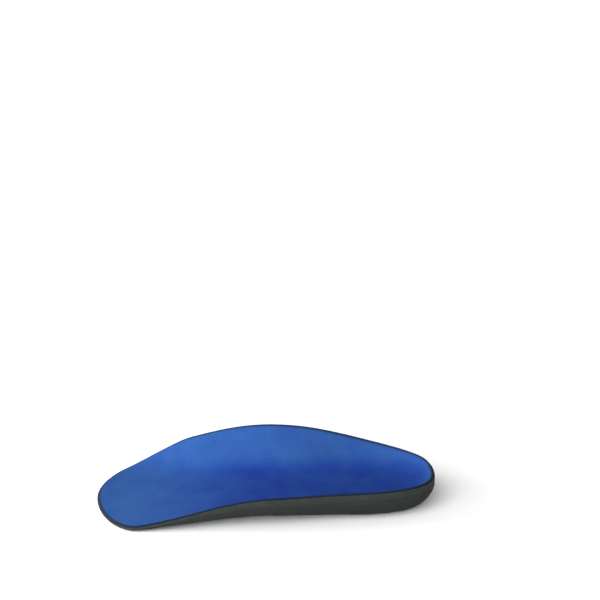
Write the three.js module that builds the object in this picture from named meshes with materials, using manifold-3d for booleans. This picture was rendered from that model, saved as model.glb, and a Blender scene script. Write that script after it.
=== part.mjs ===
// A cushioned three-quarter insole for a left foot, from the heel to just behind the toes.
// A textile cover lies on a soft foam cushion. Under it a stiff support shell with a heel
// window sits in a recess of the base, which carries the heel cup and the inner arch.
// A shock pad fills the window and a pocket of the base.
//
// Millimetres. +Y points to the toes, +X to the inner side of the foot and +Z up.
// The origin is on the ground, under the middle of the insole's outline.

import * as THREE from 'three';
import { ParametricGeometry } from 'three/addons/geometries/ParametricGeometry.js';
import { mergeVertices } from 'three/addons/utils/BufferGeometryUtils.js';
import Module from 'manifold-3d';

const { lerp, smoothstep } = THREE.MathUtils;

// ---- Outline, seen from above. Distances along the insole start at the heel. ----
const length = 174;
const heelWidth = 55;
const forefootWidth = 77.5;
const widestFromToe = 18.5;   // where the widening ends, behind the front edge
const bow = 1.8;              // how far the waist of the outline leans to the outer side
const bowAt = 81.5;
const bowSpread = 22;
const heelRound = 45;         // how much of the length the rounded heel takes
const heelFullness = 2.5;
const outerToeRound = 21;     // length of the rounded corner on the outer side
const innerToeRound = 30;
const toeFullness = 1.8;
const toeSlant = 2.9;         // the outer end of the front edge lies this much further back
const slantFromToe = 87;

// ---- Heights of the foot side ----
const heelFloor = 9.3;        // top of the cover in the middle of the heel
const toeThickness = 2.3;     // all layers together at the front edge
const floorFallsFrom = 80;
const floorFlatFromToe = 8;
const heelCupDepth = 7;       // rim above the floor, all round the heel
const outerWallFallsFrom = 84;
const outerWallEndsFromToe = 12;
const innerWallFallsFrom = 127;
const innerWallEndsFromToe = 12;
const archRise = 14.2;        // what the inner arch adds to the rim
const archAt = 80;
const archBack = 55;          // spread of the arch towards the heel
const archFront = 68.5;       // spread of the arch towards the toes

// ---- Cross-section of the wall ----
const rimRoll = 3.2;          // width of the rolled-over strip at the rim
const wallShare = 0.88;       // share of the way to the middle line that the wall takes
const heelSteepness = 4.2;
const archSteepness = 2.4;

// ---- Middle line that the cross-sections start from ----
const lineFromHeel = 27;
const lineBehindShellFront = 14;

// ---- Layers ----
const coverThickness = 0.8;
const coverTrim = 1;          // the cover is cut this much short of the cushion's edge
const glueLine = 0.25;
const foamThickness = 2.4;
const foamToeThickness = 0.5;
const foamThinsFrom = 95;
const foamThinFromToe = 12;
const shellThickness = 1.3;
const shellEdgeThickness = 0.7;
const shellMargin = 6.5;      // shell's edge to the outline, at the sides and heel
const shellFront = 122;       // shell's front edge, from the heel
const shellGap = 0.3;         // play round the shell in its recess
const layerLean = 0.75;       // a surface one millimetre deeper lies this much further out

// ---- Underside ----
const heelUndercut = 10.8;    // how far the flat sole is drawn in from the outline
const toeUndercut = 0.7;
const undercutFallsFrom = 136;
const undercutEndsFromToe = 14;
const waistUndercut = 21.6;   // added in front of the arch
const waistAt = 118;
const waistSpread = 48.5;
const outerWallFullness = 1.6; // 1 would be a flat bevel and 2 a quarter of an ellipse

// ---- Shock pad under the heel bone ----
const padAt = 35;
const padWidth = 27;
const padLength = 35;
const padFloor = 1.2;         // thickness of the base under the pad
const padGap = 0.3;

// ---- Fineness of the mesh ----
const slices = 72;            // steps round the outline
const floorSteps = [0, 0.3, 0.55, 0.75, 0.89, 1];
const rimSteps = [0.75, 0.5, 0.25];
const wallSteps = [0.18, 0.36, 0.54, 0.72, 0.88, 1];

const wasm = await Module();
wasm.setup();

/** A bell curve: 1 at the centre, falling off with the spread. */
function bell(distance, spread) {
  return Math.exp(-((distance / spread) ** 2));
}

/** 0 at an end of the outline, rising to 1 along a superellipse of the given length. */
function roundedEnd(distance, round, fullness) {
  const left = Math.max(0, 1 - distance / round);
  return Math.max(0, 1 - left ** fullness) ** (1 / fullness);
}

/** Sideways place of the outline's middle line. */
function middleX(along) {
  return -bow * bell(along - bowAt, bowSpread);
}

/** Point of the outline: the angle runs from the heel along the inner side to the toes. */
function outlineAt(angle) {
  const along = length * (1 - Math.cos(angle)) / 2;
  const side = Math.sin(angle) >= 0 ? 1 : -1;
  const halfWidth = lerp(heelWidth, forefootWidth, smoothstep(along, 0, length - widestFromToe)) / 2;
  const toeRound = side > 0 ? innerToeRound : outerToeRound;
  const ends = roundedEnd(along, heelRound, heelFullness)
    * roundedEnd(length - along, toeRound, toeFullness);
  const x = (side * halfWidth + middleX(along)) * ends;
  const slant = toeSlant * smoothstep(along, length - slantFromToe, length) * x / (forefootWidth / 2);
  return new THREE.Vector2(x, along + slant);
}

/** Height of the cover's top along the middle of the insole. */
function floorHeight(along) {
  return lerp(heelFloor, toeThickness, smoothstep(along, floorFallsFrom, length - floorFlatFromToe));
}

/** How much the inner arch takes part at this distance from the heel, 0 to 1. */
function archShare(along) {
  return bell(along - archAt, along < archAt ? archBack : archFront);
}

/** Height of the rim above the floor beside it. */
function wallHeight(angle, along) {
  const inner = smoothstep(Math.sin(angle), -0.35, 0.35);
  const outerWall = heelCupDepth
    * (1 - smoothstep(along, outerWallFallsFrom, length - outerWallEndsFromToe));
  const innerWall = heelCupDepth
    * (1 - smoothstep(along, innerWallFallsFrom, length - innerWallEndsFromToe))
    + archRise * archShare(along);
  return lerp(outerWall, innerWall, inner);
}

/** A straight line seen from above, from the middle line out to the outline. */
function rayAt(angle) {
  const rim = outlineAt(angle);
  const middleY = lerp(lineFromHeel, shellFront - lineBehindShellFront, (1 - Math.cos(angle)) / 2);
  const middle = new THREE.Vector2(middleX(middleY), middleY);
  const inner = smoothstep(Math.sin(angle), -0.35, 0.35);
  return {
    rim,
    middle,
    reach: rim.distanceTo(middle),
    wall: wallHeight(angle, rim.y),
    steepness: lerp(heelSteepness, archSteepness, inner * archShare(rim.y)),
  };
}

/** Point of a ray seen from above, at a distance inwards from the rim. */
function pointOn(ray, inset) {
  return ray.rim.clone().lerp(ray.middle, inset / ray.reach);
}

/** Share of the wall's height at a distance inwards from the rim: rolled over at the rim,
 *  then steep, then running out into the floor. */
function wallProfile(ray, inset) {
  const foot = ray.reach * wallShare;
  if (inset >= foot) {
    return 0;
  }
  const drop = 1 / (1 + 2 * (foot - rimRoll) / (ray.steepness * rimRoll));
  if (inset < rimRoll) {
    return 1 - drop * (inset / rimRoll) ** 2;
  }
  return (1 - drop) * ((foot - inset) / (foot - rimRoll)) ** ray.steepness;
}

/** Height of the surface that lies the given depth under the top of the cover. */
function layerHeight(ray, inset, depth) {
  const floor = floorHeight(pointOn(ray, inset).y);
  return floor - depth + ray.wall * wallProfile(ray, inset + layerLean * depth);
}

/** Thickness of the foam cushion, which is skived towards the toes. */
function foamAt(along) {
  return lerp(foamThickness, foamToeThickness, smoothstep(along, foamThinsFrom, length - foamThinFromToe));
}

const foamTop = coverThickness + glueLine;

/** Depth of the cushion's underside. */
function foamBottom(along) {
  return foamTop + foamAt(along);
}

/** Depth of what the cushion is glued to: the shell inside, the base outside. */
function seat(along) {
  return foamBottom(along) + glueLine;
}

/** Height of the surface that the cushion is glued to. */
function seatHeight(ray, inset) {
  return layerHeight(ray, inset, seat(pointOn(ray, inset).y));
}

/** Distance from the rim to the shell's edge along a ray, so that the shell ends at its front. */
function shellInset(ray) {
  const frontShare = (ray.rim.y - shellFront) / (ray.rim.y - ray.middle.y);
  const front = ray.rim.y > shellFront ? frontShare * ray.reach : 0;
  return Math.max(shellMargin, Math.hypot(shellMargin, front));
}

/** Closed solid swept round the insole. A section runs over the top from the middle line to
 *  the rim and then back under it; each station is a distance from the rim and a height. */
function sweptSolid(sectionOf) {
  const rays = Array.from({ length: slices + 1 }, (_, i) => rayAt(2 * Math.PI * i / slices));
  const sections = rays.map((ray) => sectionOf(ray)).map(({ over, under }) => [...over, ...under]);
  const steps = sections[0].length - 1;
  const place = (u, v, target) => {
    const i = slices - Math.round(THREE.MathUtils.clamp(u, 0, 1) * slices);
    const j = Math.round(THREE.MathUtils.clamp(v, 0, 1) * steps);
    const [inset, height] = sections[i][j];
    const point = pointOn(rays[i], inset);
    target.set(point.x, point.y, height);
  };
  const geometry = new ParametricGeometry(place, slices, steps);
  turnDiagonals(geometry, sectionOf(rays[0]).over.length);
  return closed(geometry);
}

/** Splits the quads from this step on along their other diagonal, so that the underside of
 *  one layer and the top of the next have the same facets. */
function turnDiagonals(geometry, fromStep) {
  const index = geometry.index.array;
  for (let k = fromStep * slices * 6; k < index.length; k += 6) {
    const [a, b, d, , c] = index.subarray(k, k + 6);
    index.set([a, b, c, a, c, d], k);
  }
}

/** The geometry with only its positions, and the shared vertices merged. */
function closed(geometry) {
  geometry.deleteAttribute('normal');
  geometry.deleteAttribute('uv');
  return mergeVertices(geometry, 1e-3);
}

/** Distances from the rim at which every layer has its vertices, from the middle line out. */
function insets(ray, edge) {
  const inner = shellInset(ray);
  return [
    ...floorSteps.map((share) => lerp(ray.reach, inner, share)),
    ...rimSteps.map((share) => share * inner),
    edge,
  ];
}

/** A layer between two depths, its edge trimmed back from the rim. */
function layer(topDepth, bottomDepth, trim) {
  return sweptSolid((ray) => {
    const across = insets(ray, trim);
    const at = (inset, depth) => [inset, layerHeight(ray, inset, depth(pointOn(ray, inset).y))];
    return {
      over: across.map((inset) => at(inset, topDepth)),
      under: across.toReversed().map((inset) => at(inset, bottomDepth)),
    };
  });
}

/** manifold-3d solid of a closed geometry. */
function toSolid(geometry) {
  return new wasm.Manifold(new wasm.Mesh({
    numProp: 3,
    vertProperties: new Float32Array(geometry.attributes.position.array),
    triVerts: new Uint32Array(geometry.index.array),
  }));
}

/** three.js geometry of a manifold-3d solid. */
function toGeometry(solid) {
  const mesh = solid.getMesh();
  const geometry = new THREE.BufferGeometry();
  geometry.setAttribute('position', new THREE.BufferAttribute(mesh.vertProperties, 3));
  geometry.setIndex(new THREE.BufferAttribute(mesh.triVerts, 1));
  return geometry;
}

/** Upright oval block under the heel bone, grown all round by the play. */
function ovalBlock(play, bottom) {
  const shape = new THREE.Shape();
  shape.absellipse(0, 0, padWidth / 2 + play, padLength / 2 + play, 0, 2 * Math.PI);
  const block = new THREE.ExtrudeGeometry(shape, {
    depth: heelFloor + heelCupDepth,
    bevelEnabled: false,
    curveSegments: 36,
  });
  block.translate(middleX(padAt), padAt, bottom);
  return toSolid(closed(block));
}

/** Everything above the surface that the cushion is glued to. */
function spaceAboveSeat() {
  const ceiling = heelFloor + heelCupDepth + archRise + length;
  return toSolid(sweptSolid((ray) => {
    const across = insets(ray, 0);
    return {
      over: across.map((inset) => [inset, ceiling]),
      under: across.toReversed().map((inset) => [inset, seatHeight(ray, inset)]),
    };
  }));
}

function makeCover() {
  return layer(() => 0, () => coverThickness, coverTrim);
}

function makeFoam() {
  return layer(() => foamTop, foamBottom, 0);
}

/** Stiff shell, thinner at its edge, with the heel window cut out. */
function makeShell() {
  const thickness = (share) => lerp(shellThickness, shellEdgeThickness, share ** 4);
  const blank = sweptSolid((ray) => {
    const inner = shellInset(ray);
    const stations = floorSteps.map((share) => ({ share, inset: lerp(ray.reach, inner, share) }));
    return {
      over: stations.map(({ inset }) => [inset, seatHeight(ray, inset)]),
      under: stations.toReversed().map(({ share, inset }) => [
        inset,
        seatHeight(ray, inset) - thickness(share),
      ]),
    };
  });
  return toGeometry(toSolid(blank).subtract(ovalBlock(padGap, 0)));
}

/** How far the flat sole is drawn in from the outline. */
function undercut(ray) {
  const along = ray.rim.y;
  const ends = smoothstep(along, undercutFallsFrom, length - undercutEndsFromToe);
  return lerp(heelUndercut, toeUndercut, ends) + waistUndercut * bell(along - waistAt, waistSpread);
}

/** Station on the outer wall, a superellipse from the rim to the sole's edge. */
function wallStation(step, drawnIn, height) {
  const turn = step * Math.PI / 2;
  return [
    drawnIn * (1 - Math.cos(turn) ** (2 / outerWallFullness)),
    height * (1 - Math.sin(turn) ** (2 / outerWallFullness)),
  ];
}

/** Base: seat and shell recess on top, outer wall curving in to the flat sole. */
function makeBase() {
  const recess = glueLine + shellThickness;
  const blank = sweptSolid((ray) => {
    const lip = shellInset(ray) - shellGap;
    const floor = floorSteps.map((share) => lerp(ray.reach, shellInset(ray), share));
    const rim = [...rimSteps.map((share) => shellInset(ray) * share), 0];
    const edge = seatHeight(ray, 0);
    const drawnIn = undercut(ray);
    return {
      over: [
        ...floor.map((inset) => [inset, seatHeight(ray, inset) - recess]),
        [lip, seatHeight(ray, lip) - recess],
        [lip, seatHeight(ray, lip)],
        ...rim.map((inset) => [inset, seatHeight(ray, inset)]),
      ],
      under: [
        ...wallSteps.map((step) => wallStation(step, drawnIn, edge)),
        [ray.reach, 0],
      ],
    };
  });
  return toGeometry(toSolid(blank).subtract(ovalBlock(padGap, padFloor)));
}

/** Shock pad: an oval plug whose top follows the underside of the cushion. */
function makePad() {
  return toGeometry(ovalBlock(0, padFloor + glueLine).subtract(spaceAboveSeat()));
}

/** Moves the outline's middle to the origin. */
function centre() {
  const rims = Array.from({ length: slices }, (_, i) => outlineAt(2 * Math.PI * i / slices));
  const box = new THREE.Box2().setFromPoints(rims);
  return box.getCenter(new THREE.Vector2());
}

function piece(name, geometry, color, roughness) {
  const material = new THREE.MeshStandardMaterial({ color, roughness, metalness: 0 });
  const mesh = new THREE.Mesh(geometry, material);
  mesh.name = name;
  return mesh;
}

const insole = new THREE.Group();
const middle = centre();
insole.position.set(-middle.x, -middle.y, 0);
insole.add(
  piece('top_cover', makeCover(), 0x2b5aa8, 0.85),
  piece('cushion_foam', makeFoam(), 0x4d4f4c, 0.9),
  piece('support_shell', makeShell(), 0xb9bbb6, 0.45),
  piece('heel_pad', makePad(), 0x5d8fc4, 0.5),
  piece('base', makeBase(), 0x343c3d, 0.9),
);

export default insole;
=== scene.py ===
# %% [markdown]
# # A cushioned three-quarter insole
#
# An insole like this one is a laminate: a thin blue textile lies on a soft foam cushion, the
# cushion lies on a firm foam base, and between them a stiff shell with a heel window and a
# shock pad are hidden. This lesson builds the layers as surfaces worked out with numpy, gives
# each one its own finish, and sets up a small studio that shows the outer side of it.
#
# The imported model gives the frame, and the box of its base gives the aim and the length.

# %% Load the frame
import math

import bpy
import numpy as np
from mathutils import Euler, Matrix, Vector


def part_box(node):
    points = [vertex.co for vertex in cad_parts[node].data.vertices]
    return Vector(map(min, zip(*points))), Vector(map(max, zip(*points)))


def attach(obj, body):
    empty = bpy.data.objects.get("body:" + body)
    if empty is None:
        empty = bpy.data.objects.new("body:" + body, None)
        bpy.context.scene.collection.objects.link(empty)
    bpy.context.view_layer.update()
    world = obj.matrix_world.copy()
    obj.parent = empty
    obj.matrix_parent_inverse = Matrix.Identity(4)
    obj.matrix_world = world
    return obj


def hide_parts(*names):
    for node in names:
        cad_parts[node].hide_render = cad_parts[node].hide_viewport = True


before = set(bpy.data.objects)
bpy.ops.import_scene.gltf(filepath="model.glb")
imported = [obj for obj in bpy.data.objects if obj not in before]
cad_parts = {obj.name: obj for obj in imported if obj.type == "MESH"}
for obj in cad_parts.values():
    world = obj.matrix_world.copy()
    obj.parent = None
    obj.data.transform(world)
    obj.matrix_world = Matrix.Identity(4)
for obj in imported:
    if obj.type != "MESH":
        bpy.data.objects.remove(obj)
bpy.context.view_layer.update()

MM = 0.001

# %% [markdown]
# ## Camera
#
# The camera looks at the outer side of the insole from a low angle, with the toes to the left
# and the heel to the right. The insole lies low in the picture. A camera that turns its head
# up does that, and keeps its lens unshifted, so every other view stays centred.

# %% Camera
VIEW_AZIMUTH = math.radians(-89.9)
VIEW_ELEVATION = math.radians(23.5)
VIEW_DISTANCE = 0.695
LENS_MM = 79.8
SENSOR_MM = 36.0
LOOK_UP = math.radians(8.17)
LOOK_RIGHT = math.radians(1.47)
AIM_HEIGHT = 0.005

base_low, base_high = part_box("base")
aim = Vector(((base_low.x + base_high.x) / 2, (base_low.y + base_high.y) / 2, AIM_HEIGHT))
towards_camera = Vector((
    math.sin(VIEW_AZIMUTH) * math.cos(VIEW_ELEVATION),
    -math.cos(VIEW_AZIMUTH) * math.cos(VIEW_ELEVATION),
    math.sin(VIEW_ELEVATION),
))
camera_data = bpy.data.cameras.new("camera")
camera_data.lens = LENS_MM
camera_data.sensor_width = SENSOR_MM
camera = bpy.data.objects.new("camera", camera_data)
bpy.context.scene.collection.objects.link(camera)
camera.location = aim + towards_camera * VIEW_DISTANCE
straight = (-towards_camera).to_track_quat("-Z", "Y").to_matrix()
turn = Euler((LOOK_UP, 0, 0)).to_matrix() @ Euler((0, -LOOK_RIGHT, 0)).to_matrix()
camera.rotation_euler = (straight @ turn).to_euler()
bpy.context.scene.camera = camera
print("camera at", [round(c, 3) for c in camera.location])

# %% [markdown]
# ## The insole as a function of two parameters
#
# Seen from above, every point lies on a straight ray that runs from the middle line out to the
# rim. The first parameter is the angle of the ray round the insole, and the second is how far
# inwards from the rim the point lies. Each layer is the same surface, moved down by its depth
# and a little outwards, so the layers nest without touching. Modelling it by hand with a
# subdivision cage would work too, but a formula keeps five nested layers true to each other.

# %% Small formulas
def smoothstep(x, low, high):
    """0 up to low, 1 from high on, and 3 s squared minus 2 s cubed between them."""
    s = np.clip((x - low) / (high - low), 0, 1)
    return s * s * (3 - 2 * s)


def mix(a, b, share):
    """a where the share is 0, b where it is 1."""
    return a + (b - a) * share


def bell(distance, spread):
    """e to the minus square of distance over spread."""
    return np.exp(-((distance / spread) ** 2))


def rounded_end(distance, reach, fullness):
    """Rises from 0 at an end of the outline to 1, along a superellipse."""
    left = np.clip(1 - distance / reach, 0, 1)
    return np.clip(1 - left ** fullness, 0, 1) ** (1 / fullness)


# %% [markdown]
# ### Outline
#
# The half width grows from the heel to the ball of the foot, and both ends are rounded off by
# superellipses. The waist leans a little to the outer side, where the front edge also lies
# further back. All sizes are in millimetres, and distances start at the heel.

# %% Outline seen from above
LENGTH = (base_high.y - base_low.y) / MM
HEEL_WIDTH, FOREFOOT_WIDTH, WIDEST_FROM_TOE = 55.0, 77.5, 18.5
BOW, BOW_AT, BOW_SPREAD = 1.8, 81.5, 22.0
HEEL_ROUND, HEEL_FULLNESS = 45.0, 2.5
OUTER_TOE_ROUND, INNER_TOE_ROUND, TOE_FULLNESS = 21.0, 30.0, 1.8
TOE_SLANT, SLANT_FROM_TOE = 2.9, 87.0


def middle_x(along):
    """The middle line leans to the outer side by a bell at the waist."""
    return -BOW * bell(along - BOW_AT, BOW_SPREAD)


def outline(angle):
    """x = (side x half width + lean) x both rounded ends; the length goes as 1 - cos angle."""
    along = LENGTH * (1 - np.cos(angle)) / 2
    side = np.where(np.sin(angle) >= 0, 1.0, -1.0)
    half = mix(HEEL_WIDTH, FOREFOOT_WIDTH, smoothstep(along, 0, LENGTH - WIDEST_FROM_TOE)) / 2
    ends = rounded_end(along, HEEL_ROUND, HEEL_FULLNESS)
    toe_round = np.where(side > 0, INNER_TOE_ROUND, OUTER_TOE_ROUND)
    ends = ends * rounded_end(LENGTH - along, toe_round, TOE_FULLNESS)
    x = (side * half + middle_x(along)) * ends
    slant = smoothstep(along, LENGTH - SLANT_FROM_TOE, LENGTH) * x / (FOREFOOT_WIDTH / 2)
    return x, along + TOE_SLANT * slant


SLICES = 360
ANGLES = 2 * np.pi * np.arange(SLICES) / SLICES
rim_x, rim_y = outline(ANGLES)
CENTRE_X = (rim_x.min() + rim_x.max()) / 2 - (base_low.x + base_high.x) / 2 / MM
CENTRE_Y = (rim_y.min() + rim_y.max()) / 2 - (base_low.y + base_high.y) / 2 / MM
print("outline", round(np.ptp(rim_x), 2), "x", round(np.ptp(rim_y), 2), "mm")
print("base in the frame", round((base_high.x - base_low.x) / MM, 2), "mm wide")

# %% [markdown]
# ### Heights
#
# The floor is the top of the cover along the middle: high at the heel, thin at the toes. The
# rim stands above it by the depth of the heel cup. On the inner side a bell adds the arch.

# %% Floor, walls and arch
HEEL_FLOOR, TOE_THICKNESS = 9.3, 2.3
FLOOR_FALLS_FROM, FLOOR_FLAT_FROM_TOE = 80.0, 8.0
CUP_DEPTH = 7.0
OUTER_FALLS_FROM, OUTER_ENDS_FROM_TOE = 84.0, 12.0
INNER_FALLS_FROM, INNER_ENDS_FROM_TOE = 127.0, 12.0
ARCH_RISE, ARCH_AT, ARCH_BACK, ARCH_FRONT = 14.2, 80.0, 55.0, 68.5
RIM_ROLL, WALL_SHARE = 3.2, 0.88
HEEL_STEEPNESS, ARCH_STEEPNESS = 4.2, 2.4
LINE_FROM_HEEL, LINE_END = 27.0, 108.0
SIDE_BLEND = 0.35


def floor_height(along):
    """Smooth fall from the heel's floor to the thin front edge."""
    return mix(HEEL_FLOOR, TOE_THICKNESS,
               smoothstep(along, FLOOR_FALLS_FROM, LENGTH - FLOOR_FLAT_FROM_TOE))


def arch_share(along):
    """A bell at the top of the arch, wider to the front than to the back."""
    return bell(along - ARCH_AT, np.where(along < ARCH_AT, ARCH_BACK, ARCH_FRONT))


class Rays:
    """One row for each angle: the rim point, the middle point, and the wall between them."""

    def __init__(self, angles):
        self.rim_x, self.rim_y = (v[:, None] for v in outline(angles))
        share = ((1 - np.cos(angles)) / 2)[:, None]
        self.mid_y = mix(LINE_FROM_HEEL, LINE_END, share)
        self.mid_x = middle_x(self.mid_y)
        self.reach = np.hypot(self.rim_x - self.mid_x, self.rim_y - self.mid_y)
        inner = smoothstep(np.sin(angles), -SIDE_BLEND, SIDE_BLEND)[:, None]
        outer_end, inner_end = LENGTH - OUTER_ENDS_FROM_TOE, LENGTH - INNER_ENDS_FROM_TOE
        cup = CUP_DEPTH * (1 - smoothstep(self.rim_y, OUTER_FALLS_FROM, outer_end))
        arch = CUP_DEPTH * (1 - smoothstep(self.rim_y, INNER_FALLS_FROM, inner_end))
        arch = arch + ARCH_RISE * arch_share(self.rim_y)
        self.wall = mix(cup, arch, inner)
        self.steepness = mix(HEEL_STEEPNESS, ARCH_STEEPNESS, inner * arch_share(self.rim_y))

    def point(self, inset):
        """Straight from the rim point to the middle point."""
        share = inset / self.reach
        return mix(self.rim_x, self.mid_x, share), mix(self.rim_y, self.mid_y, share)

    def profile(self, inset):
        """1 minus a square at the rolled rim, then a power of what is left of the wall."""
        foot = self.reach * WALL_SHARE
        drop = 1 / (1 + 2 * (foot - RIM_ROLL) / (self.steepness * RIM_ROLL))
        left = np.clip((foot - inset) / (foot - RIM_ROLL), 0, 1)
        steep = (1 - drop) * left ** self.steepness
        return np.where(inset < RIM_ROLL, 1 - drop * (inset / RIM_ROLL) ** 2, steep)


rays = Rays(ANGLES)
print("rim above the floor, mm:", round(rays.wall.min(), 1), "to", round(rays.wall.max(), 1))

# %% [markdown]
# ### Layers
#
# A deeper surface is the same height function read a little nearer to the floor, then lowered.

# %% Thicknesses, and the height of a layer
COVER, COVER_TRIM, GLUE = 0.8, 1.0, 0.08
FOAM, FOAM_TOE, FOAM_THINS_FROM, FOAM_THIN_FROM_TOE = 2.74, 0.84, 95.0, 12.0
SHELL, SHELL_EDGE, SHELL_MARGIN, SHELL_FRONT = 1.3, 0.7, 6.5, 122.0
LEAN = 0.75
FOAM_TOP = COVER + GLUE


def layer_height(inset, depth):
    """floor - depth + wall x profile, with the profile read LEAN x depth further in."""
    along = rays.point(inset)[1]
    return floor_height(along) - depth + rays.wall * rays.profile(inset + LEAN * depth)


def foam_bottom(along):
    """Depth of the cushion's underside: it is skived thin towards the toes."""
    thin = smoothstep(along, FOAM_THINS_FROM, LENGTH - FOAM_THIN_FROM_TOE)
    return FOAM_TOP + mix(FOAM, FOAM_TOE, thin)


def seat_height(inset):
    """Height of the surface that the cushion is glued to."""
    return layer_height(inset, foam_bottom(rays.point(inset)[1]) + GLUE)


# %% [markdown]
# ### From a grid to a closed mesh
#
# A section runs over the top from the middle line to the rim, round the edge and back under it.
# The first and the last column both lie on the middle line, where the left and the right half
# meet, so their vertices are shared and the skin closes without a seam.

# %% Grid to mesh
def link_piece(name, mesh):
    """Object at the origin for a mesh that already has its place in its points."""
    piece = bpy.data.objects.new(name, mesh)
    bpy.context.scene.collection.objects.link(piece)
    return piece


def closed_skin(name, inset, z, uv, **marks):
    """Closed mesh of a grid of slices by stations: insets from the rim and heights, both in
    millimetres, a UV map in metres with one more slice, and marks from 0 to 1, such as edge."""
    slices, stations = z.shape
    ids = np.arange(slices * stations).reshape(slices, stations)
    mirror = (-np.arange(slices)) % slices
    for column in (0, stations - 1):
        ids[:, column] = np.minimum(ids[:, column], ids[mirror, column])
    used, packed = np.unique(ids, return_inverse=True)
    packed = packed.reshape(slices, stations)

    def corners(grid, after):
        return np.stack([grid[:, :-1], after[:, :-1], after[:, 1:], grid[:, 1:]], axis=2)

    quads = corners(packed, np.roll(packed, -1, axis=0)).reshape(-1, 4)[:, ::-1]
    x, y = rays.point(inset)
    points = np.stack([x - CENTRE_X, y - CENTRE_Y, z + 0 * x], axis=-1).reshape(-1, 3)[used] * MM
    mesh = bpy.data.meshes.new(name)
    mesh.from_pydata(points.tolist(), [], quads.tolist())
    mesh.polygons.foreach_set("use_smooth", np.ones(len(mesh.polygons), bool))
    loops = corners(uv[:-1], uv[1:]).reshape(-1, 4, 2)[:, ::-1]
    mesh.uv_layers.new(name="surface").data.foreach_set("uv", loops.ravel())
    for mark, value in marks.items():
        data = mesh.attributes.new(mark, "FLOAT", "POINT").data
        data.foreach_set("value", np.ascontiguousarray(value.ravel()[used], np.float32))
    mesh.update()
    print(name, len(mesh.vertices), "points,", len(quads), "quads")
    return link_piece(name, mesh)


def section_length(inset, z):
    """Length along each section, station by station, in millimetres."""
    x, y = rays.point(inset)
    steps = np.sqrt(np.diff(x) ** 2 + np.diff(y) ** 2 + np.diff(z) ** 2)
    return np.hstack([np.zeros((len(z), 1)), np.cumsum(steps, axis=1)])


def flattened(inset, z):
    """UV of a sheet laid flat: each ray keeps its direction and is drawn out to its true
    length over the surface, as a pattern cutter would unroll it."""
    x, y = rays.point(inset)
    true = section_length(inset, z)
    seen = np.hypot(x - rays.mid_x, y - rays.mid_y)
    stretch = np.maximum(true, 1e-9) / np.maximum(seen, 1e-9)
    stretch[:, 0] = 1
    u = rays.mid_x + (x - rays.mid_x) * stretch
    v = rays.mid_y + (y - rays.mid_y) * stretch
    uv = np.stack([u, v], axis=-1) * MM
    return np.concatenate([uv, uv[:1]])


def wrapped(inset, z):
    """UV of a wall: the length round the rim, and the length along the section."""
    rim = np.hstack([rays.rim_x, rays.rim_y])
    steps = np.linalg.norm(np.roll(rim, -1, axis=0) - rim, axis=1)
    round_rim = np.concatenate([[0], np.cumsum(steps)])
    down = section_length(inset, z)
    down = np.concatenate([down, down[:1]])
    return np.stack([round_rim[:, None] + 0 * down, down], axis=-1) * MM


# %% [markdown]
# ## The textile cover
#
# The cover is a knit 0.8 mm thick. It was pressed onto the foam while warm, so it follows the
# surface without folds, and its cut edge is slightly rounded. A mark on its points carries
# painted shade: it is 1 low on the floor of the heel cup and the midfoot, where the colour is
# darkened. A cloth simulation would add folds that a moulded laminate doesn't have, so the
# sheet is placed by the formula, with the faint unevenness that pressed cloth keeps.

# %% Cover
COVER_EDGE_RADIUS = 0.3
COVER_UNDER_RADIUS = 0.12
WAVE_HEIGHT = 0.05
WAVES_FADE = (1.0, 8.0)
TOP_STATIONS, UNDER_STATIONS = 74, 30
TURN_STATIONS, UNDER_TURN_STATIONS = 5, 3
# These set the painted shade of the seat: how high above the floor it fades, and where along the
# insole it fades out.
HOLLOW_SHADE_LIFT, HOLLOW_SHADE_FADES_FROM, HOLLOW_SHADE_ENDS = 8.5, 85.0, 160.0
# Width of the painted shade band along the cover's edge, and where it narrows towards the toe.
RIM_SHADE_BAND, RIM_SHADE_BAND_AT_TOE = 0.8, 0.4
RIM_SHADE_NARROWS = (120.0, 160.0)


def towards_rim(count, edge, power=1.6):
    """Insets from the middle line to an edge, closer together near the rim."""
    share = 1 - (1 - np.linspace(0, 1, count)) ** power
    return mix(rays.reach, edge, share)


def quarter_turn(count, radius):
    """Across and down from the top of a rounded edge to its side."""
    turn = np.linspace(0, np.pi / 2, count)
    return radius * (1 - np.sin(turn)), radius * (1 - np.cos(turn))


def ring(value):
    """The same value for every slice, as one or more columns."""
    return np.tile(np.atleast_1d(value), (SLICES, 1))


def unevenness(inset):
    """Three slow waves that fade out towards the rim."""
    x, y = rays.point(inset)
    waves = np.sin(x / 5.1 + y / 9.7) + np.sin(y / 6.3 - x / 8.9 + 1) + np.sin((x + y) / 3.7 + 2)
    return WAVE_HEIGHT / 3 * waves * smoothstep(inset, *WAVES_FADE)


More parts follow.
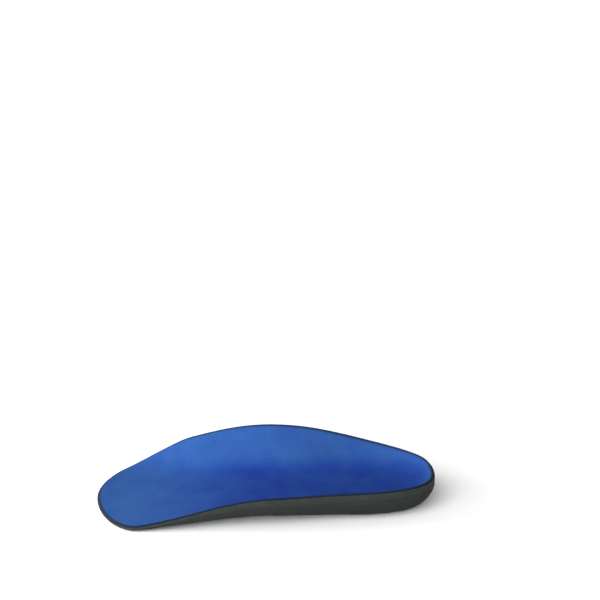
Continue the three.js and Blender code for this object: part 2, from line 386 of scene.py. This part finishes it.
def make_cover():
    """Top, rounded cut edge, and underside of the sheet."""
    across, down = quarter_turn(TURN_STATIONS, COVER_EDGE_RADIUS)
    low_across, low_down = quarter_turn(UNDER_TURN_STATIONS, COVER_UNDER_RADIUS)
    top = towards_rim(TOP_STATIONS, COVER_TRIM + COVER_EDGE_RADIUS)
    under = towards_rim(UNDER_STATIONS, COVER_TRIM + COVER_UNDER_RADIUS)[:, ::-1]
    corners = np.concatenate([across[1:], low_across[:0:-1]])
    inset = np.hstack([top, ring(COVER_TRIM + corners), under])
    depth = np.hstack([0 * top, ring(down[1:]), ring(COVER - low_down[:0:-1]), 0 * under + COVER])
    z = layer_height(inset, depth)
    z[:, :top.shape[1]] += unevenness(top)
    # The cover's edge mark is a dark band along the top of the cut edge, painted shade of the
    # rounded rim, narrower towards the toe; edge wear reads the same mark.
    toe = smoothstep(rays.rim_y, *RIM_SHADE_NARROWS)
    rim_shade_band = mix(RIM_SHADE_BAND, RIM_SHADE_BAND_AT_TOE, toe)
    edge = np.exp(-np.maximum(inset - COVER_TRIM, 0) / rim_shade_band) * (depth < COVER)
    uv = flattened(inset[:, :top.shape[1]], z[:, :top.shape[1]])
    rest = inset.shape[1] - top.shape[1]
    uv = np.concatenate([uv, np.repeat(uv[:, -1:], rest, axis=1)], axis=1)
    below = towards_rim(rest, COVER_TRIM)
    uv[:, -rest:] = flattened(below, layer_height(below, COVER))[:, ::-1]
    # The seat mark is painted shade: 1 low on the floor of the heel cup and the midfoot, 0 on the
    # walls and towards the toe.
    along = rays.point(inset)[1]
    low = 1 - smoothstep(z - floor_height(along), 0, HOLLOW_SHADE_LIFT)
    seat = low * (1 - smoothstep(along, HOLLOW_SHADE_FADES_FROM, HOLLOW_SHADE_ENDS))
    return closed_skin("cover_sheet", inset, z, uv, edge=edge, seat=seat), uv[:, :top.shape[1]]


cover, cover_pattern = make_cover()

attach(cover, "root")
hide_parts("top_cover")

# %% [markdown]
# ## The cushion
#
# Only the cut edge of the soft foam shows, as a strip under the cover. A knife leaves it
# almost upright, and the pressed foam bulges a little between its two glued faces.

# %% Cushion
CORNER_RADIUS = 0.5
CUSHION_STATIONS, BULGE_STATIONS = 40, 16
CUSHION_RUB = 1.2


def make_cushion():
    """Top, bulging cut edge, and underside, which follows the skived thickness."""
    top = towards_rim(CUSHION_STATIONS, CORNER_RADIUS)
    under = top[:, ::-1]
    share = np.linspace(0, 1, BULGE_STATIONS + 2)[1:-1]
    bulge = CORNER_RADIUS * (1 - np.sqrt(1 - (2 * share - 1) ** 4))
    edge_inset = ring(bulge)
    high = layer_height(ring(CORNER_RADIUS), FOAM_TOP)
    low_depth = foam_bottom(rays.point(ring(CORNER_RADIUS))[1])
    low = layer_height(ring(CORNER_RADIUS), low_depth)
    edge_z = mix(high, low, share[None, :])
    inset = np.hstack([top, edge_inset, under])
    z = np.hstack([
        layer_height(top, FOAM_TOP),
        edge_z,
        layer_height(under, foam_bottom(rays.point(under)[1])),
    ])
    edge = np.hstack([np.exp(-top / CUSHION_RUB), ring(np.abs(2 * share - 1) ** 3), 0 * under])
    # Painted shading: the cushion's cut edge turns to the seam grey towards its foot, a little
    # darker there.
    seam = np.hstack([0 * top, ring(share ** 2), 0 * under + 1])
    return closed_skin("cushion_layer", inset, z, wrapped(inset, z), edge=edge, seam=seam)


cushion = make_cushion()
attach(cushion, "root")
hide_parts("cushion_foam")

# %% [markdown]
# ## The base
#
# The base is ground from a block of firm foam: a flat sole, and a wall that curves out from
# the sole to the rim along a superellipse, further drawn in under the middle of the foot. Its
# top has a recess for the shell and a pocket for the shock pad, cut with a boolean because an
# oval doesn't follow the grid. Its edges are marked as rubbed for a millimetre or two, and its
# wall near the seam is marked for painted light: a lighter grey that fades a few millimetres down.

# %% Base
HEEL_UNDERCUT, TOE_UNDERCUT = 10.8, 0.7
UNDERCUT_FALLS_FROM, UNDERCUT_ENDS_FROM_TOE = 136.0, 14.0
WAIST_UNDERCUT, WAIST_AT, WAIST_SPREAD = 21.6, 118.0, 48.5
WALL_FULLNESS = 1.6
SHELL_GAP, BASE_RADIUS = 0.3, 0.2
SEAT_RUB, RIM_RUB, FOOT_RUB, SOLE_RUB, SOLE_WEAR = 0.8, 0.7, 1.2, 2.5, 0.7
SEAM_SHADING_FADE = 3.5
RECESS_STATIONS, SEAT_STATIONS, WALL_STATIONS, SOLE_STATIONS = 26, 14, 44, 14
PAD_AT, PAD_WIDTH, PAD_LENGTH, PAD_FLOOR, PAD_GAP = 35.0, 27.0, 35.0, 1.2, 0.3
OVAL_SIDES = 96


def shell_inset():
    """Distance from the rim to the shell: its margin, or the straight front edge."""
    share = (rays.rim_y - SHELL_FRONT) / (rays.rim_y - rays.mid_y)
    front = np.where(rays.rim_y > SHELL_FRONT, share * rays.reach, 0)
    return np.hypot(SHELL_MARGIN, front)


def undercut():
    """How far the flat sole is drawn in: a fall from heel to toe, and a bell at the waist."""
    ends = smoothstep(rays.rim_y, UNDERCUT_FALLS_FROM, LENGTH - UNDERCUT_ENDS_FROM_TOE)
    waist = WAIST_UNDERCUT * bell(rays.rim_y - WAIST_AT, WAIST_SPREAD)
    return mix(HEEL_UNDERCUT, TOE_UNDERCUT, ends) + waist


def make_base():
    """Recess, lip, seat, rounded rim, wall, and flat sole. The wall runs inwards by 1 - cos t
    and down by 1 - sin t, both to the power that the superellipse's fullness gives."""
    lip = shell_inset() - SHELL_GAP
    floor = mix(rays.reach, lip, np.linspace(0, 1, RECESS_STATIONS))
    seat = mix(lip, BASE_RADIUS, np.linspace(0, 1, SEAT_STATIONS))
    turn = np.linspace(0, np.pi / 2, WALL_STATIONS)[1:]
    power = 2 / WALL_FULLNESS
    rim_z = seat_height(ring(0.0))
    wall = undercut() * (1 - np.cos(turn) ** power)
    wall_z = rim_z * (1 - np.sin(turn) ** power)
    rounded = BASE_RADIUS * np.exp(-(rim_z - wall_z) / BASE_RADIUS)
    sole = mix(undercut(), rays.reach, np.linspace(0, 1, SOLE_STATIONS)[1:])
    inset = np.hstack([floor, seat, wall + rounded, sole])
    z = np.hstack([seat_height(floor) - GLUE - SHELL, seat_height(seat), wall_z, 0 * sole])
    edge = np.hstack([
        0 * floor,
        np.exp(-seat / SEAT_RUB),
        np.exp(-(rim_z - wall_z) / RIM_RUB) + SOLE_WEAR * np.exp(-wall_z / FOOT_RUB),
        SOLE_WEAR * np.exp(-(sole - undercut()) / SOLE_RUB),
    ]).clip(0, 1)
    # Painted light: the base's grey turns lighter near the seam and fades out a few millimetres
    # down the wall.
    seam = np.exp(-(rim_z - z).clip(0) / SEAM_SHADING_FADE)
    return closed_skin("base_block", inset, z, wrapped(inset, z), edge=edge, seam=seam)


def oval_block(name, play, low, high):
    """Upright oval prism under the heel bone, as a cutter."""
    turn = np.linspace(0, 2 * np.pi, OVAL_SIDES, endpoint=False)
    x = (PAD_WIDTH / 2 + play) * np.cos(turn) + middle_x(PAD_AT) - CENTRE_X
    y = (PAD_LENGTH / 2 + play) * np.sin(turn) + PAD_AT - CENTRE_Y
    lower = np.stack([x, y, 0 * x + low], axis=1)
    points = np.concatenate([lower, lower + [0, 0, high - low]]) * MM
    first = np.arange(OVAL_SIDES)
    after = np.roll(first, -1)
    upper = first + OVAL_SIDES
    sides = np.stack([first, after, after + OVAL_SIDES, upper], axis=1).tolist()
    mesh = bpy.data.meshes.new(name)
    mesh.from_pydata(points.tolist(), [], sides + [first[::-1].tolist(), upper.tolist()])
    return link_piece(name, mesh)


def cut_oval(piece, low):
    """Subtracts the oval from the piece for good, and removes the cutter."""
    cutter = oval_block("cutter", PAD_GAP, low, HEEL_FLOOR + CUP_DEPTH)
    boolean = piece.modifiers.new("oval", "BOOLEAN")
    boolean.operation = "DIFFERENCE"
    boolean.solver = "EXACT"
    boolean.object = cutter
    bpy.context.view_layer.update()
    graph = bpy.context.evaluated_depsgraph_get()
    done = bpy.data.meshes.new_from_object(piece.evaluated_get(graph))
    piece.modifiers.clear()
    piece.data = done
    bpy.data.objects.remove(cutter)
    print(piece.name, "after the cut:", len(done.polygons), "faces")


base = make_base()
cut_oval(base, PAD_FLOOR)
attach(base, "root")
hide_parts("base")

# %% [markdown]
# ## Finishes
#
# Four effects are used by more than one finish, so each is a node group with its own inputs:
# slow mottling, the grain of cut foam, edge wear, and dust. The knit of the cover is a group
# as well, because its rows are a little formula of their own. Groups hand out only masks and
# heights, and every shader stays in its own material.

# %% Node helpers
def node(tree, kind, inputs=(), **settings):
    """New node with its settings, and its inputs by name or number: values or sockets."""
    made = tree.nodes.new(kind)
    for name, value in settings.items():
        setattr(made, name, value)
    for key, value in dict(inputs).items():
        if isinstance(value, bpy.types.NodeSocket):
            tree.links.new(value, made.inputs[key])
        else:
            made.inputs[key].default_value = value
    return made


def calc(tree, operation, *values):
    """Math node, as its output socket."""
    return node(tree, "ShaderNodeMath", enumerate(values), operation=operation).outputs[0]


def scaled(tree, vector, factors):
    """The vector times three factors."""
    made = node(tree, "ShaderNodeVectorMath", {0: vector, 1: factors}, operation="MULTIPLY")
    return made.outputs[0]


def noise(tree, vector, scale, detail=2.0, roughness=0.5):
    """Noise from 0 to 1, as its output socket."""
    inputs = {"Vector": vector, "Scale": scale, "Detail": detail, "Roughness": roughness}
    return node(tree, "ShaderNodeTexNoise", inputs).outputs["Fac"]


def ramp(tree, value, low, high):
    """0 below low and 1 above high, smooth between them."""
    inputs = {"Value": value, "From Min": low, "From Max": high}
    made = node(tree, "ShaderNodeMapRange", inputs, interpolation_type="SMOOTHSTEP")
    return made.outputs["Result"]


def blend_colour(tree, share, first, second):
    """Colour mix by a share, as its output socket."""
    made = node(tree, "ShaderNodeMix", data_type="RGBA")
    for index, value in ((0, share), (6, first), (7, second)):
        if isinstance(value, bpy.types.NodeSocket):
            tree.links.new(value, made.inputs[index])
        else:
            made.inputs[index].default_value = value
    return made.outputs[2]


def group(name, inputs, outputs):
    """Empty node group: its tree, its input sockets by name, and its output node."""
    tree = bpy.data.node_groups.new(name, "ShaderNodeTree")
    print("node group:", name)
    for socket, kind, value in inputs:
        made = tree.interface.new_socket(socket, in_out="INPUT", socket_type=kind)
        if value is not None:
            made.default_value = value
    for socket in outputs:
        tree.interface.new_socket(socket, in_out="OUTPUT", socket_type="NodeSocketFloat")
    start = tree.nodes.new("NodeGroupInput")
    end = tree.nodes.new("NodeGroupOutput")
    return tree, start.outputs, end


def use(tree, group_tree, **inputs):
    """The group placed in a material with its own values, as its output sockets."""
    made = tree.nodes.new("ShaderNodeGroup")
    made.node_tree = group_tree
    for name, value in inputs.items():
        key = name.replace("_", " ")
        if isinstance(value, bpy.types.NodeSocket):
            tree.links.new(value, made.inputs[key])
        else:
            made.inputs[key].default_value = value
    return made.outputs


FLOAT, VECTOR = "NodeSocketFloat", "NodeSocketVector"

# %% [markdown]
# Mottling is the uneven take-up of dye and the soft shading of handled material: two noises,
# a slow one and a fast one. Lengths inside the groups are millimetres.

# %% Mottling
def mottling_group():
    """0.6 of a slow noise plus 0.4 of a fast one."""
    tree, start, end = group(
        "mottling",
        [("Vector", VECTOR, None), ("Patch", FLOAT, 9.0), ("Fleck", FLOAT, 0.8)],
        ["Mottle"],
    )
    slow = noise(tree, start["Vector"], calc(tree, "DIVIDE", 1.0, start["Patch"]), 3.0)
    fast = noise(tree, start["Vector"], calc(tree, "DIVIDE", 1.0, start["Fleck"]), 2.0)
    total = calc(tree, "MULTIPLY_ADD", fast, 0.4, calc(tree, "MULTIPLY", slow, 0.6))
    tree.links.new(total, end.inputs["Mottle"])
    return tree


MOTTLING = mottling_group()

# %% [markdown]
# Foam is full of bubbles. Where a blade or a grinding wheel opens it, each bubble leaves a
# small pit. Two sizes of Voronoi cells give the pits, and a noise breaks their regularity.

# %% Cut foam
def foam_grain_group():
    """A noise, less the pits of large and of small cells."""
    tree, start, end = group(
        "cut foam grain",
        [("Vector", VECTOR, None), ("Cell", FLOAT, 0.5)],
        ["Height", "Pits"],
    )
    scale = calc(tree, "DIVIDE", 1.0, start["Cell"])
    big = node(tree, "ShaderNodeTexVoronoi", {"Vector": start["Vector"], "Scale": scale})
    fine_scale = calc(tree, "MULTIPLY", scale, 2.3)
    fine = node(tree, "ShaderNodeTexVoronoi", {"Vector": start["Vector"], "Scale": fine_scale})
    pits = ramp(tree, big.outputs["Distance"], 0.42, 0.12)
    small = ramp(tree, fine.outputs["Distance"], 0.4, 0.1)
    rough = noise(tree, start["Vector"], scale, 3.0, 0.6)
    depth = calc(tree, "MULTIPLY_ADD", pits, -0.6, calc(tree, "MULTIPLY", small, -0.25))
    height = calc(tree, "MULTIPLY_ADD", rough, 0.5, depth)
    tree.links.new(height, end.inputs["Height"])
    tree.links.new(pits, end.inputs["Pits"])
    return tree


FOAM_GRAIN = foam_grain_group()

# %% [markdown]
# Wear sits on edges. Every mesh apart from the pad's carries an edge mark, 1 on its edges, and
# noise breaks the mark up so that the wear comes and goes. Dust is sparse light specks.

# %% Wear and dust
def wear_group():
    """The edge mark times a patchy noise, with its contrast raised."""
    tree, start, end = group(
        "edge wear",
        [("Vector", VECTOR, None), ("Edge", FLOAT, 0.0), ("Patch", FLOAT, 4.0)],
        ["Wear"],
    )
    patch = noise(tree, start["Vector"], calc(tree, "DIVIDE", 1.0, start["Patch"]), 4.0, 0.65)
    reach = calc(tree, "MULTIPLY", start["Edge"], ramp(tree, patch, 0.35, 0.7))
    tree.links.new(ramp(tree, reach, 0.1, 0.8), end.inputs["Wear"])
    return tree


def dust_group():
    """1 within the speck's size of the middle of each cell."""
    tree, start, end = group(
        "dust specks",
        [("Vector", VECTOR, None), ("Spacing", FLOAT, 2.5), ("Size", FLOAT, 0.06)],
        ["Specks"],
    )
    scale = calc(tree, "DIVIDE", 1.0, start["Spacing"])
    cells = node(tree, "ShaderNodeTexVoronoi", {"Vector": start["Vector"], "Scale": scale})
    share = calc(tree, "DIVIDE", start["Size"], start["Spacing"])
    spot = calc(tree, "LESS_THAN", cells.outputs["Distance"], share)
    tree.links.new(spot, end.inputs["Specks"])
    return tree


WEAR = wear_group()
DUST = dust_group()

# %% [markdown]
# A plain knit is columns of V-shaped stitches. Across a column, two legs rise and fall like a
# sine. Along it they swell once per stitch, and the swelling comes later towards the edges of
# the column, which tilts the legs into a V.

# %% Knit
def knit_group():
    """The leg's sine to a power, times the swelling along it; a noise shifts the stitches."""
    tree, start, end = group(
        "fine knit",
        [("Vector", VECTOR, None), ("Column", FLOAT, 0.9), ("Row", FLOAT, 0.65)],
        ["Height"],
    )
    jitter = node(tree, "ShaderNodeTexNoise", {"Vector": start["Vector"], "Scale": 0.35})
    moved = node(tree, "ShaderNodeVectorMath",
                 {0: jitter.outputs["Color"], 1: (0.35, 0.35, 0.0), 2: start["Vector"]},
                 operation="MULTIPLY_ADD").outputs[0]
    place = node(tree, "ShaderNodeSeparateXYZ", {0: moved}).outputs
    column = calc(tree, "DIVIDE", place["X"], start["Column"])
    row = calc(tree, "DIVIDE", place["Y"], start["Row"])
    across = calc(tree, "FRACT", column)
    leg = calc(tree, "ABSOLUTE", calc(tree, "SINE", calc(tree, "MULTIPLY", across, 2 * math.pi)))
    off_centre = calc(tree, "ABSOLUTE", calc(tree, "SUBTRACT", across, 0.5))
    swell_at = calc(tree, "MULTIPLY", calc(tree, "ADD", row, off_centre), 2 * math.pi)
    swell = calc(tree, "MULTIPLY_ADD", calc(tree, "COSINE", swell_at), 0.25, 0.75)
    height = calc(tree, "MULTIPLY", calc(tree, "POWER", leg, 0.7), swell)
    tree.links.new(height, end.inputs["Height"])
    return tree


KNIT = knit_group()

# %% [markdown]
# ### The cover's blue textile
#
# The yarn is matt with a faint sheen at grazing angles. The gaps between stitches are darker.
# The low seat is painted darker as shade, and the walls, rim and toe lighter as painted light.
# The dye is faintly mottled, and a dark band along the cut edge is painted shade with wear.

# %% Textile
def new_material(name, roughness):
    """Material, its tree, its Principled shader, and its coordinates in millimetres."""
    made = bpy.data.materials.new(name)
    made.use_nodes = True
    tree = made.node_tree
    shader = tree.nodes["Principled BSDF"]
    shader.inputs["Roughness"].default_value = roughness
    coordinates = tree.nodes.new("ShaderNodeTexCoord").outputs["Object"]
    return made, tree, shader, scaled(tree, coordinates, (1 / MM,) * 3)


def surface_map(tree):
    """The piece's own UV map, in millimetres."""
    surface = node(tree, "ShaderNodeUVMap", uv_map="surface").outputs["UV"]
    return scaled(tree, surface, (1 / MM,) * 3)


def mark(tree, name):
    """A mark that the mesh carries on its points, from 0 to 1."""
    return node(tree, "ShaderNodeAttribute", attribute_name=name).outputs["Fac"]


def bumped(tree, shader, height, distance):
    """Bump from a height, with its distance in millimetres."""
    inputs = {"Height": height, "Distance": distance * MM, "Strength": 1.0}
    made = node(tree, "ShaderNodeBump", inputs)
    tree.links.new(made.outputs["Normal"], shader.inputs["Normal"])


def textile_material():
    """Yarn from deep to light blue, painted darker in the low seat as shade, darker gaps, pale
    lint,
    and a dark band at the edge: painted shade with patches of wear.
    """
    made, tree, shader, place = new_material("blue knit", 0.85)
    knit = use(tree, KNIT, Vector=surface_map(tree), Column=0.9, Row=0.65)
    mottle = use(tree, MOTTLING, Vector=place, Patch=11.0, Fleck=1.1)["Mottle"]
    wear = use(tree, WEAR, Vector=place, Edge=mark(tree, "edge"), Patch=3.0)["Wear"]
    lint = use(tree, DUST, Vector=place, Spacing=3.1, Size=0.05)["Specks"]
    # Painted shade and light: the seat mark darkens the yarn low in the hollow, while the walls,
    # rim and toe are painted lighter.
    unshaded = calc(tree, "MULTIPLY_ADD", mark(tree, "seat"), -0.65, 0.65)
    tone = calc(tree, "MULTIPLY_ADD", ramp(tree, mottle, 0.3, 0.7), 0.35, unshaded)
    yarn = blend_colour(tree, tone, BLUE_DEEP, BLUE_LIGHT)
    stitched = blend_colour(tree, ramp(tree, knit["Height"], 0.0, 0.55), BLUE_GAP, yarn)
    # A dark band along the cut edge: painted shade, with patches of edge wear on top.
    rim_shade_band = calc(tree, "MULTIPLY_ADD", wear, 0.3, ramp(tree, mark(tree, "edge"), 0.1, 0.4))
    rubbed = blend_colour(tree, rim_shade_band, stitched, BLUE_EDGE_SHADE_AND_WEAR)
    dusty = blend_colour(tree, calc(tree, "MULTIPLY", lint, 0.35), rubbed, LINT)
    tree.links.new(dusty, shader.inputs["Base Color"])
    rough = calc(tree, "MULTIPLY_ADD", mottle, 0.12, 0.78)
    tree.links.new(rough, shader.inputs["Roughness"])
    shader.inputs["Sheen Weight"].default_value = 0.02
    shader.inputs["Sheen Roughness"].default_value = 0.45
    shader.inputs["Sheen Tint"].default_value = (0.4, 0.85, 1.0, 1)
    shader.inputs["Specular IOR Level"].default_value = 0.03
    bumped(tree, shader, knit["Height"], 0.09)
    return made


# The deep blue is also the painted shade of the seat and the light blue the painted light on the
# walls; the edge blue is painted shade along the cut edge, with wear.
BLUE_DEEP = (0.007, 0.026, 0.215, 1)
BLUE_LIGHT = (0.027, 0.09, 0.265, 1)
BLUE_GAP = (0.007, 0.024, 0.14, 1)
BLUE_EDGE_SHADE_AND_WEAR = (0.012, 0.02, 0.055, 1)
LINT = (0.5, 0.55, 0.65, 1)


def finish_with(piece, made):
    """Gives the piece this one material."""
    piece.data.materials.clear()
    piece.data.materials.append(made)
    print(piece.name, "is finished as", made.name)


finish_with(cover, textile_material())

# %% [markdown]
# ### Foam of the cushion and of the base
#
# Both are matt cut foam. The cushion is a dark olive grey with open pits. The base is darker,
# cooler and finer, and the grinding wheel has left faint lines that run round it. Near the seam
# both greys are painted into one grey, so the seam hardly shows and the wall is painted lighter at
# its top.

# %% Foams
def foam_material(name, deep, light, worn, cell, pit_depth, grinding):
    """Cut foam with two colours that both turn into the seam's grey as painted light and shade,
    a worn colour, a cell size in millimetres and its relief."""
    made, tree, shader, place = new_material(name, 0.9)
    grain = use(tree, FOAM_GRAIN, Vector=place, Cell=cell)
    mottle = use(tree, MOTTLING, Vector=place, Patch=7.0, Fleck=0.9)["Mottle"]
    wear = use(tree, WEAR, Vector=place, Edge=mark(tree, "edge"), Patch=2.5)["Wear"]
    specks = use(tree, DUST, Vector=place, Spacing=1.9, Size=0.07)["Specks"]
    lines = noise(tree, scaled(tree, surface_map(tree), (0.06, 3.0, 1.0)), 1.0, 3.0, 0.6)
    plain = blend_colour(tree, ramp(tree, mottle, 0.3, 0.7), deep, light)
    # Painted light and shade: near the seam both foams turn to one grey, lighter at the top of the
    # base wall.
    body = blend_colour(tree, mark(tree, "seam"), plain, SEAM_SHADING_GREY)
    scored = calc(tree, "MULTIPLY", ramp(tree, lines, 0.4, 0.7), grinding)
    ground = blend_colour(tree, scored, body, worn)
    pitted = blend_colour(tree, calc(tree, "MULTIPLY", grain["Pits"], 0.35), ground, deep)
    rubbed = blend_colour(tree, calc(tree, "MULTIPLY", wear, 0.6), pitted, worn)
    dusty = blend_colour(tree, calc(tree, "MULTIPLY", specks, 0.4), rubbed, worn)
    tree.links.new(dusty, shader.inputs["Base Color"])
    rough = calc(tree, "MULTIPLY_ADD", mottle, 0.15, 0.78)
    tree.links.new(rough, shader.inputs["Roughness"])
    shader.inputs["Specular IOR Level"].default_value = 0.15
    relief = calc(tree, "MULTIPLY_ADD", lines, grinding, grain["Height"])
    bumped(tree, shader, relief, pit_depth)
    return made


# The seam grey is painted shading on the wall: lighter than the base, a little darker than the
# cushion.
SEAM_SHADING_GREY = (0.019, 0.023, 0.021, 1)
CUSHION_DEEP = (0.019, 0.022, 0.02, 1)
CUSHION_LIGHT = (0.029, 0.033, 0.028, 1)
CUSHION_WORN = (0.052, 0.055, 0.046, 1)
BASE_DEEP = (0.009, 0.012, 0.013, 1)
BASE_LIGHT = (0.015, 0.019, 0.02, 1)
BASE_WORN = (0.032, 0.036, 0.036, 1)
finish_with(cushion, foam_material(
    "cushion foam", CUSHION_DEEP, CUSHION_LIGHT, CUSHION_WORN,
    cell=0.55, pit_depth=0.07, grinding=0.15))
finish_with(base, foam_material(
    "base foam", BASE_DEEP, BASE_LIGHT, BASE_WORN, cell=0.38, pit_depth=0.05, grinding=0.45))

# %% [markdown]
# ## The inner parts
#
# The shell and the pad are glued in and don't show, but they are made and finished like the
# rest. The shell is a moulded plate that follows the seat, cut out round the pad. The pad is a
# plug of soft blue elastomer with rounded edges.

# %% Shell
SHELL_STATIONS, SHELL_CROWDING, SHELL_RUB = 40, 1.5, 1.5


def make_shell():
    """Plate under the seat, thinner at its rounded edge, with the heel window."""
    edge = shell_inset()
    share = 1 - (1 - np.linspace(0, 1, SHELL_STATIONS)) ** SHELL_CROWDING
    inset = mix(rays.reach, edge, share)
    thickness = mix(SHELL, SHELL_EDGE, share ** 4)
    top = seat_height(inset)
    z = np.hstack([top, (top - thickness)[:, ::-1]])
    inset = np.hstack([inset, inset[:, ::-1]])
    near_edge = np.exp(-(inset - edge) / SHELL_RUB)
    return closed_skin("shell_plate", inset, z, wrapped(inset, z), edge=near_edge)


shell = make_shell()
cut_oval(shell, 0.0)
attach(shell, "root")
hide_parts("support_shell")


# %% Pad
PAD_RADIUS = 0.9
PAD_SLICES, PAD_STATIONS, PAD_CORNER_STATIONS = 120, 22, 7


def make_pad():
    """Oval pill: an ellipse seen from above, with its side a rounded superellipse."""
    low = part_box("heel_pad")[0].z / MM
    high = float(seat_height(rays.reach)[0, 0])
    radius = PAD_RADIUS
    turn = np.linspace(0, np.pi / 2, PAD_CORNER_STATIONS)
    out = np.linspace(0, 1, PAD_STATIONS)[:-1]
    narrow = 1 - 2 * radius / PAD_WIDTH * (1 - np.sin(turn))
    share = np.concatenate([out * narrow[0], narrow, narrow[::-1], (out * narrow[0])[::-1]])
    top = high - radius * (1 - np.cos(turn))
    bottom = low + radius * (1 - np.cos(turn))
    z = np.concatenate([0 * out + high, top, bottom[::-1], 0 * out + low])
    angle = np.linspace(0, 2 * np.pi, PAD_SLICES, endpoint=False)[:, None]
    x = PAD_WIDTH / 2 * share * np.cos(angle) + middle_x(PAD_AT) - CENTRE_X
    y = PAD_LENGTH / 2 * share * np.sin(angle) + PAD_AT - CENTRE_Y
    points = np.stack([x, y, z + 0 * x], axis=-1)
    count, stations = x.shape
    ids = np.arange(count * stations).reshape(count, stations)
    ids[:, 0], ids[:, -1] = ids[0, 0], ids[0, -1]
    used, packed = np.unique(ids, return_inverse=True)
    packed = packed.reshape(count, stations)
    after = np.roll(packed, -1, axis=0)
    quads = np.stack([packed[:, :-1], packed[:, 1:], after[:, 1:], after[:, :-1]], axis=-1)
    faces = [list(dict.fromkeys(face)) for face in quads.reshape(-1, 4)[:, ::-1].tolist()]
    mesh = bpy.data.meshes.new("pad_plug")
    mesh.from_pydata((points.reshape(-1, 3)[used] * MM).tolist(), [], faces)
    mesh.polygons.foreach_set("use_smooth", np.ones(len(mesh.polygons), bool))
    mesh.update()
    print("pad", round(high - low, 2), "mm thick,", len(faces), "faces")
    return link_piece("pad_plug", mesh)


pad = make_pad()
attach(pad, "root")
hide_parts("heel_pad")


# %% Shell and pad finishes
SHELL_DARK = (0.42, 0.43, 0.41, 1)
SHELL_LIGHT = (0.52, 0.53, 0.5, 1)
SHELL_SCUFF = (0.66, 0.66, 0.63, 1)
PAD_DEEP = (0.06, 0.2, 0.42, 1)
PAD_LIGHT = (0.12, 0.3, 0.55, 1)


def shell_material():
    """Satin moulded plastic with a fine orange-peel skin and edges scuffed pale."""
    made, tree, shader, place = new_material("shell plastic", 0.45)
    mottle = use(tree, MOTTLING, Vector=place, Patch=14.0, Fleck=1.5)["Mottle"]
    colour = blend_colour(tree, mottle, SHELL_DARK, SHELL_LIGHT)
    scuff = use(tree, WEAR, Vector=place, Edge=mark(tree, "edge"), Patch=3.0)["Wear"]
    scuffed = blend_colour(tree, calc(tree, "MULTIPLY", scuff, 0.5), colour, SHELL_SCUFF)
    tree.links.new(scuffed, shader.inputs["Base Color"])
    tree.links.new(calc(tree, "MULTIPLY_ADD", mottle, 0.2, 0.35), shader.inputs["Roughness"])
    bumped(tree, shader, noise(tree, place, 1.6, 3.0), 0.03)
    return made


def pad_material():
    """Soft elastomer, satin, with a faint moulded ripple."""
    made, tree, shader, place = new_material("pad elastomer", 0.4)
    mottle = use(tree, MOTTLING, Vector=place, Patch=6.0, Fleck=0.8)["Mottle"]
    colour = blend_colour(tree, mottle, PAD_DEEP, PAD_LIGHT)
    tree.links.new(colour, shader.inputs["Base Color"])
    tree.links.new(calc(tree, "MULTIPLY_ADD", mottle, 0.2, 0.3), shader.inputs["Roughness"])
    bumped(tree, shader, noise(tree, place, 0.9, 2.0), 0.05)
    return made


finish_with(shell, shell_material())
finish_with(pad, pad_material())

# %% [markdown]
# ## Cloth and foam
#
# The cover is a sheet: its flat size is that of the pattern that the UV map unrolls.

# %% [markdown]
# ## Floor and light
#
# The insole stands on a plain pale floor. A broad low lamp on its outer side lights the arch
# and the back of the heel cup, and a small one beyond the toes lights the forefoot. A white
# sky, brightest at the horizon, keeps the shadows pale.

# %% Floor
FLOOR_SIZE = 12.0
FLOOR_WHITE = (0.95, 0.95, 0.95, 1)
FLOOR_WHITER = (0.97, 0.97, 0.97, 1)


def make_floor():
    """One flat square, almost white."""
    half = FLOOR_SIZE / 2
    corners = [(-half, -half, 0), (half, -half, 0), (half, half, 0), (-half, half, 0)]
    mesh = bpy.data.meshes.new("floor")
    mesh.from_pydata(corners, [], [(0, 1, 2, 3)])
    floor = link_piece("floor", mesh)
    made, tree, shader, place = new_material("pale floor", 0.7)
    cloud = noise(tree, place, 0.01, 2.0)
    colour = blend_colour(tree, cloud, FLOOR_WHITE, FLOOR_WHITER)
    tree.links.new(colour, shader.inputs["Base Color"])
    shader.inputs["Specular IOR Level"].default_value = 0.1
    finish_with(floor, made)


make_floor()

# %% Light
SKY = 0.3
HORIZON = 1.0
FADES_BETWEEN = (0.25, 0.65)
SUN = 4.0
SUN_SPREAD = 60
SUN_FROM = Vector((-0.8, 0.55, 0.55))
TOE_LAMP_WATTS = 0.7
TOE_LAMP_SIZE = 0.15
TOE_LAMP_FROM = Vector((0.0, 0.28, 0.13))


def lamp(name, kind, place, energy):
    """Lamp that faces the insole and stays out of the camera's sight."""
    data = bpy.data.lights.new(name, kind)
    data.energy = energy
    light = bpy.data.objects.new(name, data)
    light.location = place
    light.visible_camera = False
    light.rotation_euler = (aim - place).to_track_quat("-Z", "Y").to_euler()
    bpy.context.scene.collection.objects.link(light)
    print(name, "at", [round(c, 2) for c in place])
    return data


def white_sky():
    """White all round: HORIZON low down, SKY overhead, and a fade by the height's sine."""
    world = bpy.data.worlds.new("white sky")
    bpy.context.scene.world = world
    world.use_nodes = True
    tree = world.node_tree
    way = tree.nodes.new("ShaderNodeTexCoord").outputs["Generated"]
    up = node(tree, "ShaderNodeSeparateXYZ", {0: way}).outputs["Z"]
    fade = ramp(tree, up, *FADES_BETWEEN)
    strength = calc(tree, "MULTIPLY_ADD", fade, SKY - HORIZON, HORIZON)
    tree.nodes["Background"].inputs["Color"].default_value = (1, 1, 1, 1)
    tree.links.new(strength, tree.nodes["Background"].inputs["Strength"])


white_sky()
lamp("broad lamp", "SUN", SUN_FROM, SUN).angle = math.radians(SUN_SPREAD)
lamp("toe lamp", "AREA", TOE_LAMP_FROM, TOE_LAMP_WATTS).size = TOE_LAMP_SIZE
bpy.context.scene.view_settings.view_transform = "Standard"
bpy.context.scene.view_settings.look = "None"
